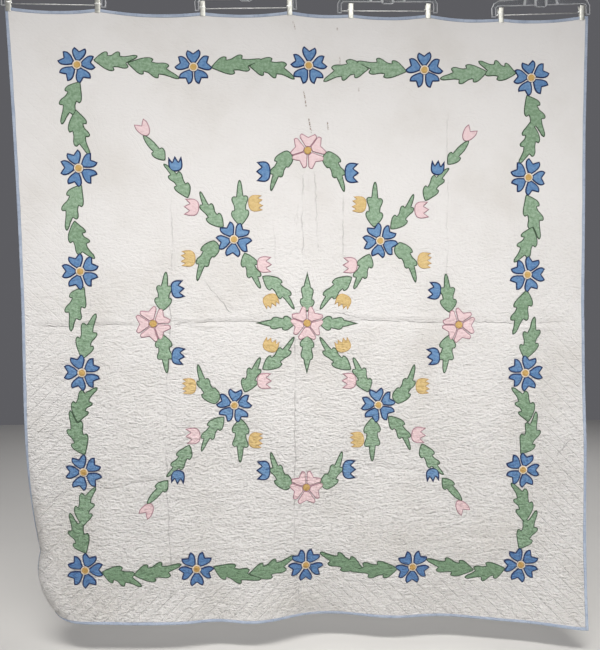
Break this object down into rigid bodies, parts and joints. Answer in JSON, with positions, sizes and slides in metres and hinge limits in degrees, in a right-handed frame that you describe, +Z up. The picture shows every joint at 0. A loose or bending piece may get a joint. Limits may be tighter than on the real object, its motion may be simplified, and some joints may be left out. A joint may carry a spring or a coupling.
{
  "type": "applique quilt on clip hangers",
  "caption": "Off-white bed quilt with sewn-on blue and pink flowers, sage leaves and buds inside a blue binding, hung by its top edge from clear clip hangers.",
  "frame": {"origin": "where the hooks bear on a level rail, above the middle of the quilt's design", "axes": "+X to the viewer's right along the rail, +Y away from the viewer, so that the quilt's face looks along -Y, +Z up"},
  "size_m": [2.0873, 0.2001, 2.3485],
  "materials": {
    "quilt": "matt quilted cotton",
    "binding": "matt cotton strip",
    "blue_petals": "matt cotton",
    "pink_petals": "matt cotton",
    "clear_plastic": "clear moulded plastic",
    "steel": "bright plated steel"
  },
  "bodies": {
    "root": {"quilt": "quilt", "binding": "binding", "flower_border_01": "blue_petals", "flower_border_02": "blue_petals", "flower_border_03": "blue_petals", "flower_border_04": "blue_petals", "flower_border_05": "blue_petals", "flower_border_06": "blue_petals", "flower_border_07": "blue_petals", "flower_border_08": "blue_petals", "flower_border_09": "blue_petals", "flower_border_10": "blue_petals", "flower_border_11": "blue_petals", "flower_border_12": "blue_petals", "flower_border_13": "blue_petals", "flower_border_14": "blue_petals", "flower_border_15": "blue_petals", "flower_border_16": "blue_petals", "flower_border_17": "blue_petals", "flower_border_18": "blue_petals", "flower_inner_01": "blue_petals", "flower_inner_02": "blue_petals", "flower_inner_03": "blue_petals", "flower_inner_04": "blue_petals", "flower_pink_01": "pink_petals", "flower_pink_02": "pink_petals", "flower_pink_03": "pink_petals", "flower_pink_04": "pink_petals", "flower_pink_05": "pink_petals", "hanger_1_frame": "clear_plastic", "hanger_1_hook": "steel", "hanger_1_bar": "steel", "hanger_1_clip_left_front": "steel", "hanger_1_clip_left_back": "steel", "hanger_1_clip_right_front": "steel", "hanger_1_clip_right_back": "steel", "hanger_2_frame": "clear_plastic", "hanger_2_hook": "steel", "hanger_2_bar": "steel", "hanger_2_clip_left_front": "steel", "hanger_2_clip_left_back": "steel", "hanger_2_clip_right_front": "steel", "hanger_2_clip_right_back": "steel", "hanger_3_frame": "clear_plastic", "hanger_3_hook": "steel", "hanger_3_bar": "steel", "hanger_3_clip_left_front": "steel", "hanger_3_clip_left_back": "steel", "hanger_3_clip_right_front": "steel", "hanger_3_clip_right_back": "steel", "hanger_4_frame": "clear_plastic", "hanger_4_hook": "steel", "hanger_4_bar": "steel", "hanger_4_clip_left_front": "steel", "hanger_4_clip_left_back": "steel", "hanger_4_clip_right_front": "steel", "hanger_4_clip_right_back": "steel"}
  },
  "joints": []
}
